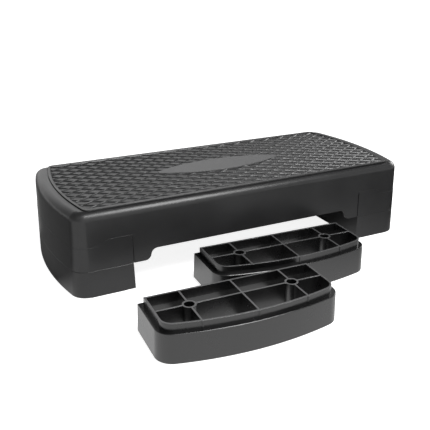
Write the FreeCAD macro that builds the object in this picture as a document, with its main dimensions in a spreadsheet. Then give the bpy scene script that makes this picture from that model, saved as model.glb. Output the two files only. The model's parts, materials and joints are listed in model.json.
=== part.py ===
"""Aerobic step platform.

A hollow moulded deck with an anti-slip mat stands on two riser blocks. Two more blocks lie loose in front.
Millimetres, Z up, X along the deck. The origin is the middle of the whole set's footprint, on the floor.
"""

import FreeCAD
import Part
import math
import os
from types import SimpleNamespace

import Sketcher

# Driving dimensions: name, size, meaning.
SIZES = (
    ("overall_length", 680.0, "bowed end to bowed end, at the floor"),
    ("overall_width", 286.0, "long side to long side, at the floor"),
    ("end_radius", 520.0, "bow of the ends, at the floor"),
    ("corner_radius", 28.0, "upright corners, at the floor"),
    ("draft_slope", 0.026, "inward lean of the outer walls for each unit of height"),
    ("riser_height", 46.0, "floor to ledge"),
    ("riser_depth", 115.0, "straight side to the middle of the bowed side"),
    ("riser_wall", 5.0, "outer wall of a riser"),
    ("ledge_thickness", 4.0, "ledge that carries what is stacked on a riser"),
    ("ledge_chamfer", 0.8, "broken outer edge of the ledge"),
    ("tongue_inset", 7.0, "width of the ledge round the tongue"),
    ("tongue_wall", 3.0, "wall of the tongue"),
    ("tongue_height", 12.0, "ledge to tongue rim"),
    ("key_width", 2.0, "upright key on the bowed side of the tongue, in line with a cross rib"),
    ("key_proud", 1.0, "key from the face of the tongue"),
    ("socket_depth", 14.0, "free depth under the ribs of a riser, for another tongue"),
    ("fit_gap", 0.5, "tongue to locator"),
    ("rib_thickness", 3.0, "ribs of a riser"),
    ("rib_row", 52.0, "long rib from the straight side of a riser"),
    ("boss_offset", 82.0, "boss from the middle of a riser"),
    ("boss_diameter", 21.0, "outside of a boss"),
    ("boss_bore", 15.0, "hole in a boss"),
    ("foot_length", 60.0, "rubber foot strip"),
    ("foot_width", 3.6, "rubber foot strip"),
    ("foot_thickness", 2.0, "rubber foot strip"),
    ("foot_proud", 1.0, "how far a foot strip stands below the rim"),
    ("foot_setback", 15.0, "foot strip from the corner of a riser"),
    ("foot_gap", 0.1, "foot strip to its pocket, all round"),
    ("deck_height", 97.0, "seam above the risers to the top face"),
    ("deck_wall", 4.0, "skirt, leg and cross walls"),
    ("plate_thickness", 3.0, "top plate under the mat"),
    ("bullnose", 15.0, "round-over of the top edge"),
    ("hollow_fillet", 6.0, "inside corners under the top plate"),
    ("panel_step", 0.4, "how far a leg panel stands out from the wall above"),
    ("panel_low", 40.0, "upper line of a leg panel round the end, above the seam"),
    ("panel_high", 50.0, "upper line of a leg panel on the long sides, above the seam"),
    ("panel_curve_near", 37.0, "inner end of that line's rise, from the leg's inner face"),
    ("panel_curve_far", 60.0, "outer end of that line's rise, from the leg's inner face"),
    ("slit_width", 1.2, "relief groove beside each leg"),
    ("slit_height", 46.0, "relief groove above the seam"),
    ("slit_depth", 1.4, "relief groove into the wall, at its top"),
    ("slit_eye", 3.2, "round end of the relief groove"),
    ("arch_rise", 19.0, "straight arch edge above the seam"),
    ("arch_tab", 19.0, "level skirt edge beside a leg"),
    ("arch_curve", 22.0, "length of the arch's end curve"),
    ("deck_rib_thickness", 2.5, "ribs under the top plate"),
    ("deck_rib_depth", 25.0, "ribs under the top plate"),
    ("deck_rib_row", 68.0, "spacing of the long ribs"),
    ("deck_rib_step", 64.0, "spacing of the cross ribs"),
    ("mat_length", 625.0, "bowed end to bowed end"),
    ("mat_width", 259.0, "long side to long side"),
    ("mat_end_radius", 520.0, "bow of the mat's ends"),
    ("mat_corner", 12.0, "corners of the mat"),
    ("mat_thickness", 4.0, "mat to the tops of its tread ribs"),
    ("mat_recess", 2.5, "depth of the mat's seat in the deck"),
    ("mat_gap", 0.8, "mat to the wall of its seat"),
    ("mat_rim_width", 3.5, "raised rim of the mat"),
    ("mat_rim_height", 0.3, "raised rim above the tread"),
    ("tread_side_border", 17.0, "plain border beside the tread, rim and all"),
    ("tread_end_border", 4.5, "plain border at the ends of the tread, rim and all"),
    ("tread_cell_length", 36.4, "diamond cells of the tread, pitch along the deck"),
    ("tread_cell_width", 22.1, "diamond cells of the tread, pitch across the deck"),
    ("tread_rib_width", 2.6, "ribs between the cells"),
    ("tread_depth", 1.6, "depth of the cells"),
    ("plaque_length", 250.0, "smooth lens on the mat, tip to tip"),
    ("plaque_width", 70.0, "smooth lens on the mat"),
    ("plaque_height", 0.5, "smooth lens above the tread"),
    ("plaque_border", 2.0, "plain border round the lens"),
    ("spare_front_x", -124.0, "front loose riser, middle of its straight side, from the deck's middle"),
    ("spare_front_y", -272.0, "front loose riser, middle of its straight side, from the deck's middle"),
    ("spare_rear_x", 19.0, "rear loose riser, middle of its straight side, from the deck's middle"),
    ("spare_rear_y", -155.0, "rear loose riser, middle of its straight side, from the deck's middle"),
    ("spare_turn", -2.3, "degrees that the loose risers are turned from the deck"),
)
CROSS_RIBS = 6
LONG_RIBS = 3
UP = FreeCAD.Vector(0, 0, 1)
LYING = FreeCAD.Rotation(FreeCAD.Vector(1, 0, 0), -90)
RIGHT_ANGLE = math.pi / 2


class Size:
    """A size that holds its number and the spreadsheet expression it comes from."""

    def __init__(self, number, text):
        self.number = number
        self.text = text

    def join(self, other, sign, number):
        return Size(number, f"({self.text} {sign} {other.text})")

    def __add__(self, other):
        other = as_size(other)
        return self.join(other, "+", self.number + other.number)

    def __sub__(self, other):
        other = as_size(other)
        return self.join(other, "-", self.number - other.number)

    def __mul__(self, other):
        other = as_size(other)
        return self.join(other, "*", self.number * other.number)

    def __truediv__(self, other):
        other = as_size(other)
        return self.join(other, "/", self.number / other.number)

    def __neg__(self):
        return Size(-self.number, f"(-{self.text})")


def as_size(value):
    """Wrap a plain number as a Size."""
    if isinstance(value, Size):
        return value
    return Size(float(value), str(value))


def root(size):
    return Size(math.sqrt(size.number), f"sqrt({size.text})")


def cosine(degrees):
    return Size(math.cos(math.radians(degrees.number)), f"cos({degrees.text} * 1deg)")


def whole(size):
    """Next whole number."""
    return Size(math.ceil(size.number), f"ceil({size.text})")


def make_sheet():
    """Fill the spreadsheet and return its sizes by name."""
    sheet = doc.addObject("Spreadsheet::Sheet", "Sizes")
    for row, (name, value, meaning) in enumerate(SIZES, start=1):
        sheet.set(f"A{row}", name)
        sheet.set(f"B{row}", str(value))
        sheet.setAlias(f"B{row}", name)
        sheet.set(f"C{row}", meaning)
    doc.recompute()
    return SimpleNamespace(**{name: Size(float(sheet.get(name)), f"Sizes.{name}") for name, _, _ in SIZES})


# Sketches

def new_sketch(body, name, role, height=None):
    """Sketch on one of the body's own planes, raised to a height."""
    sketch = body.newObject("Sketcher::SketchObject", name)
    plane = next(feature for feature in body.Origin.OriginFeatures if feature.Role == role)
    sketch.AttachmentSupport = [(plane, "")]
    sketch.MapMode = "FlatFace"
    if height is not None:
        sketch.setExpression("AttachmentOffset.Base.z", height.text)
    return sketch


def line(x_from, y_from, x_to, y_to):
    return Part.LineSegment(FreeCAD.Vector(x_from, y_from, 0), FreeCAD.Vector(x_to, y_to, 0))


def arc(x, y, radius, start, end):
    return Part.ArcOfCircle(Part.Circle(FreeCAD.Vector(x, y, 0), UP, radius), start, end)


def add_loop(sketch, pieces):
    """Add a closed loop of (geometry, runs backwards, tangent to the next), and return its first index."""
    first = sketch.GeometryCount
    sketch.addGeometry([piece[0] for piece in pieces], False)
    for index, (_, backwards, smooth) in enumerate(pieces):
        following = (index + 1) % len(pieces)
        leave = 1 if backwards else 2
        enter = 2 if pieces[following][1] else 1
        kind = "Tangent" if smooth else "Coincident"
        sketch.addConstraint(Sketcher.Constraint(kind, first + index, leave, first + following, enter))
    return first


def hold(sketch, kind, size, *where):
    """Add a dimension and bind it to its size."""
    index = sketch.addConstraint(Sketcher.Constraint(kind, *where, size.number))
    sketch.setExpression(f"Constraints[{index}]", size.text)


def align(sketch, kind, *where):
    sketch.addConstraint(Sketcher.Constraint(kind, *where))


def add_rectangle(sketch, x_low, x_high, y_low, y_high):
    left, right, front, rear = (size.number for size in (x_low, x_high, y_low, y_high))
    first = add_loop(sketch, [
        (line(left, front, right, front), False, False),
        (line(right, front, right, rear), False, False),
        (line(right, rear, left, rear), False, False),
        (line(left, rear, left, front), False, False),
    ])
    for side in (0, 2):
        align(sketch, "Horizontal", first + side)
        align(sketch, "Vertical", first + side + 1)
    hold(sketch, "DistanceX", x_low, first, 1)
    hold(sketch, "DistanceY", y_low, first, 1)
    hold(sketch, "DistanceX", x_high, first + 2, 1)
    hold(sketch, "DistanceY", y_high, first + 2, 1)


def add_bowed_rectangle(sketch, half_length, half_width, bow, corner):
    """Rectangle with bowed ends and round corners, centred on the origin."""
    half_w, bow_r, corner_r = half_width.number, bow.number, corner.number
    bow_x = half_length.number - bow_r
    corner_y = half_w - corner_r
    corner_x = bow_x + math.sqrt((bow_r - corner_r) ** 2 - corner_y ** 2)
    swing = math.atan2(corner_y, corner_x - bow_x)
    first = add_loop(sketch, [
        (line(-corner_x, -half_w, corner_x, -half_w), False, True),
        (arc(corner_x, -corner_y, corner_r, -RIGHT_ANGLE, -swing), False, True),
        (arc(bow_x, 0, bow_r, -swing, swing), False, True),
        (arc(corner_x, corner_y, corner_r, swing, RIGHT_ANGLE), False, True),
        (line(corner_x, half_w, -corner_x, half_w), False, True),
        (arc(-corner_x, corner_y, corner_r, RIGHT_ANGLE, math.pi - swing), False, True),
        (arc(-bow_x, 0, bow_r, math.pi - swing, math.pi + swing), False, True),
        (arc(-corner_x, -corner_y, corner_r, math.pi + swing, 3 * RIGHT_ANGLE), False, True),
    ])
    for side, width in ((first, -half_width), (first + 4, half_width)):
        align(sketch, "Horizontal", side)
        hold(sketch, "DistanceY", width, side, 1)
    for end, bow_centre in ((first + 2, half_length - bow), (first + 6, bow - half_length)):
        align(sketch, "PointOnObject", end, 3, -1)
        hold(sketch, "DistanceX", bow_centre, end, 3)
        hold(sketch, "Radius", bow, end)
        hold(sketch, "Radius", corner, end - 1)
        hold(sketch, "Radius", corner, end + 1)


def add_riser_outline(sketch, inset):
    """Plan of a riser, drawn in by an inset: straight side at the front, bowed side at the rear."""
    half_w = (half_width - inset).number
    front = inset.number
    bow_r = (size.end_radius - inset).number
    corner_r = (size.corner_radius - inset).number
    bow_y = (size.riser_depth - size.end_radius).number
    corner_x = half_w - corner_r
    corner_y = bow_y + math.sqrt((bow_r - corner_r) ** 2 - corner_x ** 2)
    swing = math.atan2(corner_y - bow_y, corner_x)
    first = add_loop(sketch, [
        (line(-half_w, front, half_w, front), False, False),
        (line(half_w, front, half_w, corner_y), False, True),
        (arc(corner_x, corner_y, corner_r, 0, swing), False, True),
        (arc(0, bow_y, bow_r, swing, math.pi - swing), False, True),
        (arc(-corner_x, corner_y, corner_r, math.pi - swing, math.pi), False, True),
        (line(-half_w, corner_y, -half_w, front), False, False),
    ])
    align(sketch, "Horizontal", first)
    align(sketch, "Vertical", first + 1)
    align(sketch, "Vertical", first + 5)
    align(sketch, "PointOnObject", first + 3, 3, -2)
    hold(sketch, "DistanceY", inset, first, 1)
    hold(sketch, "DistanceX", half_width - inset, first + 1, 1)
    hold(sketch, "DistanceX", inset - half_width, first + 5, 1)
    hold(sketch, "DistanceY", size.riser_depth - size.end_radius, first + 3, 3)
    hold(sketch, "Radius", size.end_radius - inset, first + 3)
    hold(sketch, "Radius", size.corner_radius - inset, first + 2)
    hold(sketch, "Radius", size.corner_radius - inset, first + 4)


def s_curve(run, rise):
    """Radius and swing of the two equal arcs that join level lines over a run and a rise."""
    radius = (run ** 2 + rise ** 2) / (4 * rise)
    return radius, 2 * math.atan2(rise, run)


def add_arch(sketch):
    """Front view of the space under the skirts: level tabs, curved ends, straight arch edge."""
    tab = leg_face - size.arch_tab
    span = tab - size.arch_curve
    edge = deck_bottom + size.arch_rise
    floor = as_size(0)
    radius, swing = s_curve(size.arch_curve.number, size.arch_rise.number)
    tab_x, span_x, edge_z, seam_z = tab.number, span.number, edge.number, deck_bottom.number
    first = add_loop(sketch, [
        (line(-tab_x, 0, -tab_x, seam_z), False, False),
        (arc(-tab_x, seam_z + radius, radius, -RIGHT_ANGLE, swing - RIGHT_ANGLE), False, True),
        (arc(-span_x, edge_z - radius, radius, RIGHT_ANGLE, RIGHT_ANGLE + swing), True, True),
        (line(-span_x, edge_z, span_x, edge_z), False, True),
        (arc(span_x, edge_z - radius, radius, RIGHT_ANGLE - swing, RIGHT_ANGLE), True, True),
        (arc(tab_x, seam_z + radius, radius, 3 * RIGHT_ANGLE - swing, 3 * RIGHT_ANGLE), False, False),
        (line(tab_x, seam_z, tab_x, 0), False, False),
        (line(tab_x, 0, -tab_x, 0), False, False),
    ])
    align(sketch, "Vertical", first)
    align(sketch, "Vertical", first + 6)
    align(sketch, "Horizontal", first + 3)
    align(sketch, "Vertical", first + 1, 3, first + 1, 1)
    align(sketch, "Vertical", first + 5, 3, first + 5, 2)
    align(sketch, "Equal", first + 1, first + 2)
    align(sketch, "Equal", first + 4, first + 5)
    for side, place_x in ((first, -tab), (first + 6, tab)):
        hold(sketch, "DistanceX", place_x, side, 1)
    for point, height in ((1, floor), (2, deck_bottom)):
        hold(sketch, "DistanceY", height, first, point)
        hold(sketch, "DistanceY", height, first + 6, 3 - point)
    hold(sketch, "DistanceY", edge, first + 3, 1)
    hold(sketch, "DistanceX", -span, first + 3, 1)
    hold(sketch, "DistanceX", span, first + 3, 2)


def add_panel_zone(sketch):
    """Front view of the left leg's panel: level round the end, rising in a curve towards the arch."""
    outside = -size.overall_length
    inside = -(leg_face + size.slit_width)
    near = -(leg_face + size.panel_curve_near)
    far = -(leg_face + size.panel_curve_far)
    low = deck_bottom + size.panel_low
    high = deck_bottom + size.panel_high
    run = (size.panel_curve_far - size.panel_curve_near).number
    radius, swing = s_curve(run, (size.panel_high - size.panel_low).number)
    out_x, in_x, near_x, far_x = outside.number, inside.number, near.number, far.number
    low_z, high_z = low.number, high.number
    first = add_loop(sketch, [
        (line(out_x, 0, in_x, 0), False, False),
        (line(in_x, 0, in_x, high_z), False, False),
        (line(in_x, high_z, near_x, high_z), False, True),
        (arc(near_x, high_z - radius, radius, RIGHT_ANGLE, RIGHT_ANGLE + swing), False, True),
        (arc(far_x, low_z + radius, radius, -RIGHT_ANGLE, swing - RIGHT_ANGLE), True, True),
        (line(far_x, low_z, out_x, low_z), False, False),
        (line(out_x, low_z, out_x, 0), False, False),
    ])
    for level in (first, first + 2, first + 5):
        align(sketch, "Horizontal", level)
    for upright in (first + 1, first + 6):
        align(sketch, "Vertical", upright)
    align(sketch, "Equal", first + 3, first + 4)
    align(sketch, "PointOnObject", first, 1, -1)
    hold(sketch, "DistanceX", outside, first, 1)
    hold(sketch, "DistanceX", inside, first, 2)
    hold(sketch, "DistanceY", high, first + 2, 1)
    hold(sketch, "DistanceX", near, first + 2, 2)
    hold(sketch, "DistanceY", low, first + 5, 1)
    hold(sketch, "DistanceX", far, first + 5, 1)


def add_lens(sketch, length, width):
    """Pointed lens of two equal arcs."""
    bow = (length * length + width * width) / (width * 4)
    reach = math.asin(length.number / 2 / bow.number)
    drop = (bow - width / 2).number
    first = add_loop(sketch, [
        (arc(0, -drop, bow.number, RIGHT_ANGLE - reach, RIGHT_ANGLE + reach), False, False),
        (arc(0, drop, bow.number, 3 * RIGHT_ANGLE - reach, 3 * RIGHT_ANGLE + reach), False, False),
    ])
    for side in (first, first + 1):
        align(sketch, "PointOnObject", side, 3, -2)
        hold(sketch, "Radius", bow, side)
    align(sketch, "PointOnObject", first, 1, -1)
    hold(sketch, "DistanceX", length / 2, first, 1)


def add_diamond(sketch, x, y, half_x, half_y):
    corners = ((x - half_x, y), (x, y - half_y), (x + half_x, y), (x, y + half_y))
    points = [(corner_x.number, corner_y.number) for corner_x, corner_y in corners]
    sides = [line(*points[side], *points[(side + 1) % 4]) for side in range(4)]
    first = add_loop(sketch, [(side, False, False) for side in sides])
    for side, (corner_x, corner_y) in enumerate(corners):
        hold(sketch, "DistanceX", corner_x, first + side, 1)
        hold(sketch, "DistanceY", corner_y, first + side, 1)


# Features

def add_pad(body, sketch, length, tapered=False, both_ways=False):
    pad = body.newObject("PartDesign::Pad", f"{sketch.Name}_pad")
    pad.Profile = sketch
    pad.Midplane = both_ways
    pad.setExpression("Length", length.text)
    if tapered:
        pad.setExpression("TaperAngle", "-atan(Sizes.draft_slope)")
    return pad


def level_edges(feature, height):
    """Names of a feature's edges that lie level at a height."""
    doc.recompute()
    names = []
    for number, edge in enumerate(feature.Shape.Edges, start=1):
        if all(abs(vertex.Z - height.number) < 1e-4 for vertex in edge.Vertexes):
            names.append(f"Edge{number}")
    return names


def add_fillet(body, feature, height, radius):
    fillet = body.newObject("PartDesign::Fillet", f"{feature.Name}_fillet")
    fillet.Base = (feature, level_edges(feature, height))
    fillet.setExpression("Radius", radius.text)
    return fillet


def add_chamfer(body, feature, height, width):
    chamfer = body.newObject("PartDesign::Chamfer", f"{feature.Name}_chamfer")
    chamfer.Base = (feature, level_edges(feature, height))
    chamfer.setExpression("Size", width.text)
    return chamfer


def new_body(name):
    return doc.addObject("PartDesign::Body", name)


def riser_prism(name, low, high, inset, tapered=False):
    """Body on a riser's plan, drawn in by an inset, from one height to another."""
    body = new_body(name)
    sketch = new_sketch(body, f"{name}_plan", "XY_Plane", low)
    add_riser_outline(sketch, inset)
    add_pad(body, sketch, high - low, tapered)
    return body


def deck_prism(name, low, high, inset):
    """Body on the whole deck's plan, drawn in by an inset, with the outer walls' lean."""
    body = new_body(name)
    sketch = new_sketch(body, f"{name}_plan", "XY_Plane", low)
    add_bowed_rectangle(sketch, half_length - inset, half_width - inset,
                        size.end_radius - inset, size.corner_radius - inset)
    add_pad(body, sketch, high - low, tapered=True)
    return body


def add_box(name, x_low, x_high, y_low, y_high, z_low, z_high):
    box = doc.addObject("Part::Box", name)
    for side, low, high in (("Length", x_low, x_high), ("Width", y_low, y_high), ("Height", z_low, z_high)):
        box.setExpression(side, (high - low).text)
    for axis, low in (("x", x_low), ("y", y_low), ("z", z_low)):
        box.setExpression(f"Placement.Base.{axis}", low.text)
    return box


def add_post(name, diameter, x, y, z_low, z_high):
    """Upright cylinder."""
    post = doc.addObject("Part::Cylinder", name)
    post.setExpression("Radius", (diameter / 2).text)
    post.setExpression("Height", (z_high - z_low).text)
    for axis, low in (("x", x), ("y", y), ("z", z_low)):
        post.setExpression(f"Placement.Base.{axis}", low.text)
    return post


def cut(name, base, tool):
    result = doc.addObject("Part::Cut", name)
    result.Base = base
    result.Tool = tool
    return result


def common(name, base, tool):
    result = doc.addObject("Part::Common", name)
    result.Base = base
    result.Tool = tool
    return result


def fuse(name, shapes):
    result = doc.addObject("Part::MultiFuse", name)
    result.Shapes = shapes
    return result


def place(thing, spot):
    """Stand a piece on its spot, turned about the upright axis."""
    thing.Placement = FreeCAD.Placement(FreeCAD.Vector(), FreeCAD.Rotation(UP, spot.turn.number))
    thing.setExpression("Placement.Base.x", spot.x.text)
    thing.setExpression("Placement.Base.y", spot.y.text)
    thing.setExpression("Placement.Rotation.Angle", f"{spot.turn.text} * 1deg")


def leaned(height):
    """How far the outer walls have leaned in at a height."""
    return height * size.draft_slope


# Risers

def cross_rows():
    """Places of the cross ribs of a riser, left to right."""
    return enumerate((-size.boss_offset, as_size(0), size.boss_offset), start=1)


def riser_ribs(name):
    """Ribs, bosses and locators that stand in the hollow of a riser."""
    half_rib = size.rib_thickness / 2
    floor = as_size(0)
    low = size.foot_proud + size.socket_depth
    top = tongue_top + size.foot_proud
    locator = leaned(size.riser_height) + size.tongue_inset - size.fit_gap
    ribs = [add_box(f"{name}_long_rib", -half_width, half_width,
                    size.rib_row - half_rib, size.rib_row + half_rib, low, top)]
    for number, x in cross_rows():
        sides = (x - half_rib, x + half_rib)
        ribs.append(add_box(f"{name}_cross_rib_{number}", *sides, floor, size.riser_depth, low, top))
        ribs.append(add_box(f"{name}_locator_{number}", *sides, floor, locator, floor, low))
    for side, x_low, x_high in (("left", -half_width, locator - half_width),
                                ("right", half_width - locator, half_width)):
        ribs.append(add_box(f"{name}_locator_{side}", x_low, x_high,
                            size.rib_row - half_rib, size.rib_row + half_rib, floor, low))
    for side, x in (("left", -size.boss_offset), ("right", size.boss_offset)):
        ribs.append(add_post(f"{name}_boss_{side}", size.boss_diameter, x, size.rib_row, low, top))
    return fuse(f"{name}_ribs", ribs)


def tongue_keys(name, tongue_inset):
    """Three upright keys on the bowed side of a riser's tongue."""
    band = riser_prism(f"{name}_key_band", size.riser_height, tongue_top, tongue_inset - size.key_proud)
    half_key = size.key_width / 2
    slots = []
    for number, x in cross_rows():
        slots.append(add_box(f"{name}_key_slot_{number}", x - half_key, x + half_key,
                             size.rib_row, size.riser_depth, size.riser_height, tongue_top))
    return common(f"{name}_keys", band, fuse(f"{name}_key_slots", slots))


def foot_spots():
    """Plan rectangles of the four foot strips in the middle of a riser's rim."""
    inner = (size.riser_wall - size.foot_width) / 2
    outer = inner + size.foot_width
    near = half_width - size.foot_setback
    far = near - size.foot_length
    reach = size.foot_setback + size.foot_length
    return (
        (-near, -far, inner, outer),
        (far, near, inner, outer),
        (inner - half_width, outer - half_width, size.foot_setback, reach),
        (half_width - outer, half_width - inner, size.foot_setback, reach),
    )


def make_riser(name, spot):
    """Riser block: leaning outer wall, ledge, keyed tongue, ribs with two bosses, open socket below."""
    ledge_low = size.riser_height - size.ledge_thickness
    tongue_inset = leaned(size.riser_height) + size.tongue_inset
    floor = as_size(0)
    above = tongue_top + size.foot_proud

    block = riser_prism(f"{name}_block", size.foot_proud, size.riser_height,
                        leaned(size.foot_proud), tapered=True)
    add_chamfer(block, block.Tip, size.riser_height, size.ledge_chamfer)
    tongue = new_sketch(block, f"{name}_tongue", "XY_Plane", size.riser_height)
    add_riser_outline(tongue, tongue_inset)
    add_pad(block, tongue, size.tongue_height)

    hollow = fuse(f"{name}_hollow", [
        riser_prism(f"{name}_lower_hollow", floor, ledge_low, size.riser_wall),
        riser_prism(f"{name}_upper_hollow", ledge_low, above, tongue_inset + size.tongue_wall),
    ])
    voids = [cut(f"{name}_cells", hollow, riser_ribs(name))]
    for side, x in (("left", -size.boss_offset), ("right", size.boss_offset)):
        voids.append(add_post(f"{name}_bore_{side}", size.boss_bore, x, size.rib_row, floor, above))
    for number, (x_low, x_high, y_low, y_high) in enumerate(foot_spots(), start=1):
        voids.append(add_box(f"{name}_foot_pocket_{number}",
                             x_low - size.foot_gap, x_high + size.foot_gap,
                             y_low - size.foot_gap, y_high + size.foot_gap,
                             floor, size.foot_thickness))
    solid = fuse(f"{name}_solid", [block, tongue_keys(name, tongue_inset)])
    riser = cut(name, solid, fuse(f"{name}_voids", voids))
    place(riser, spot)
    return riser


def make_feet(riser_name, spot):
    """Four rubber strips that sit in the rim of a riser and stand a little proud of it."""
    feet = []
    for number, (x_low, x_high, y_low, y_high) in enumerate(foot_spots(), start=1):
        foot = new_body(f"{riser_name}_foot_{number}")
        sketch = new_sketch(foot, f"{foot.Name}_plan", "XY_Plane")
        add_rectangle(sketch, x_low, x_high, y_low, y_high)
        add_pad(foot, sketch, size.foot_thickness)
        place(foot, spot)
        feet.append(foot)
    return feet


# Deck

def deck_hull():
    """Outside of the deck: leaning walls, rounded top edge, mat seat and a raised panel on each leg."""
    hull = deck_prism("deck_hull", deck_bottom, deck_top, leaned(deck_bottom) + size.panel_step)
    add_fillet(hull, hull.Tip, deck_top, size.bullnose)
    seat = new_sketch(hull, "mat_seat", "XY_Plane", deck_top)
    add_bowed_rectangle(seat, size.mat_length / 2 + size.mat_gap, size.mat_width / 2 + size.mat_gap,
                        size.mat_end_radius + size.mat_gap, size.mat_corner + size.mat_gap)
    pocket = hull.newObject("PartDesign::Pocket", "mat_seat_pocket")
    pocket.Profile = seat
    pocket.setExpression("Length", size.mat_recess.text)

    leg_block = deck_prism("leg_block", deck_bottom, deck_bottom + size.panel_high, leaned(deck_bottom))
    panels = []
    for side, half_turn in (("left", 0), ("right", 180)):
        zone = new_body(f"{side}_panel_zone")
        sketch = new_sketch(zone, f"{side}_panel_view", "XZ_Plane")
        add_panel_zone(sketch)
        add_pad(zone, sketch, size.overall_width * 2, both_ways=True)
        zone.Placement = FreeCAD.Placement(FreeCAD.Vector(), FreeCAD.Rotation(UP, half_turn))
        panels.append(common(f"{side}_leg_panel", leg_block, zone))
    return fuse("deck_outside", [hull] + panels)


def deck_hollows(spots):
    """Spaces inside the deck: one between the legs and one in each leg, with the ribs left standing."""
    under_plate = deck_top - size.mat_recess - size.plate_thickness
    side = half_width - leaned(deck_bottom) - size.panel_step - size.deck_wall
    middle = new_body("middle_hollow")
    sketch = new_sketch(middle, "middle_hollow_plan", "XY_Plane", deck_bottom)
    add_rectangle(sketch, -leg_face, leg_face, -side, side)
    pad = add_pad(middle, sketch, under_plate - deck_bottom, tapered=True)
    add_fillet(middle, pad, under_plate, size.hollow_fillet)
    hollows = [cut("middle_space", middle, middle_ribs(under_plate))]
    for name, spot in spots.items():
        leg = riser_prism(f"{name}_leg_hollow", deck_bottom, under_plate,
                          leaned(deck_bottom) + size.deck_wall, tapered=True)
        add_fillet(leg, leg.Tip, under_plate, size.hollow_fillet)
        space = cut(f"{name}_leg_space", leg, leg_ribs(name, under_plate))
        place(space, spot)
        hollows.append(space)
    return hollows


def middle_ribs(under_plate):
    """Grid of ribs under the top plate between the legs."""
    half_rib = size.deck_rib_thickness / 2
    low = under_plate - size.deck_rib_depth
    ribs = []
    for number in range(LONG_RIBS):
        y = size.deck_rib_row * (number - (LONG_RIBS - 1) / 2)
        ribs.append(add_box(f"deck_long_rib_{number + 1}", -leg_face, leg_face,
                            y - half_rib, y + half_rib, low, under_plate))
    for number in range(CROSS_RIBS):
        x = size.deck_rib_step * (number - (CROSS_RIBS - 1) / 2)
        ribs.append(add_box(f"deck_cross_rib_{number + 1}", x - half_rib, x + half_rib,
                            -half_width, half_width, low, under_plate))
    return fuse("deck_ribs", ribs)


def leg_ribs(name, under_plate):
    """Ribs under the plate of one leg, and the locators beside its riser's tongue, on the riser's plan."""
    half_rib = size.deck_rib_thickness / 2
    low = under_plate - size.deck_rib_depth
    floor = as_size(0)
    locator = leaned(size.riser_height) + size.tongue_inset - size.fit_gap
    row = (size.rib_row - half_rib, size.rib_row + half_rib)
    ribs = [add_box(f"{name}_leg_long_rib", -half_width, half_width, *row, low, under_plate)]
    for number, x in cross_rows():
        sides = (x - half_rib, x + half_rib)
        ribs.append(add_box(f"{name}_leg_cross_rib_{number}", *sides,
                            floor, size.riser_depth, low, under_plate))
        ribs.append(add_box(f"{name}_leg_locator_{number}", *sides, floor, locator, deck_bottom, tongue_top))
    for side, x_low, x_high in (("front", -half_width, locator - half_width),
                                ("rear", half_width - locator, half_width)):
        ribs.append(add_box(f"{name}_leg_locator_{side}", x_low, x_high, *row, deck_bottom, tongue_top))
    return fuse(f"{name}_leg_ribs", ribs)


def relief_slits():
    """Narrow grooves with round upper ends, beside each leg on both long sides."""
    top = deck_bottom + size.slit_height
    inner = half_width - leaned(top) - size.slit_depth
    slits = []
    for end, x_low in (("left", -(leg_face + size.slit_width)), ("right", leg_face)):
        for side, y_low, y_high in (("front", -half_width, -inner), ("rear", inner, half_width)):
            name = f"{end}_{side}_slit"
            slits.append(add_box(name, x_low, x_low + size.slit_width, y_low, y_high, deck_bottom, top))
            eye = doc.addObject("Part::Cylinder", f"{name}_eye")
            eye.Placement = FreeCAD.Placement(FreeCAD.Vector(), LYING)
            eye.setExpression("Radius", (size.slit_eye / 2).text)
            eye.setExpression("Height", (y_high - y_low).text)
            for axis, low in (("x", x_low + size.slit_width / 2), ("y", y_low), ("z", top)):
                eye.setExpression(f"Placement.Base.{axis}", low.text)
            slits.append(eye)
    return slits


def make_deck(leg_spots, spot):
    """Deck shell: the hull less its hollows, the arch through both skirts and the relief grooves."""
    arch = new_body("deck_arch")
    sketch = new_sketch(arch, "deck_arch_view", "XZ_Plane")
    add_arch(sketch)
    add_pad(arch, sketch, size.overall_width * 2, both_ways=True)
    voids = fuse("deck_voids", deck_hollows(leg_spots) + [arch] + relief_slits())
    deck = cut("deck_shell", deck_hull(), voids)
    place(deck, spot)
    return deck


def add_mat_plan(sketch, inset):
    add_bowed_rectangle(sketch, size.mat_length / 2 - inset, size.mat_width / 2 - inset,
                        size.mat_end_radius - inset, size.mat_corner - inset)


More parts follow.
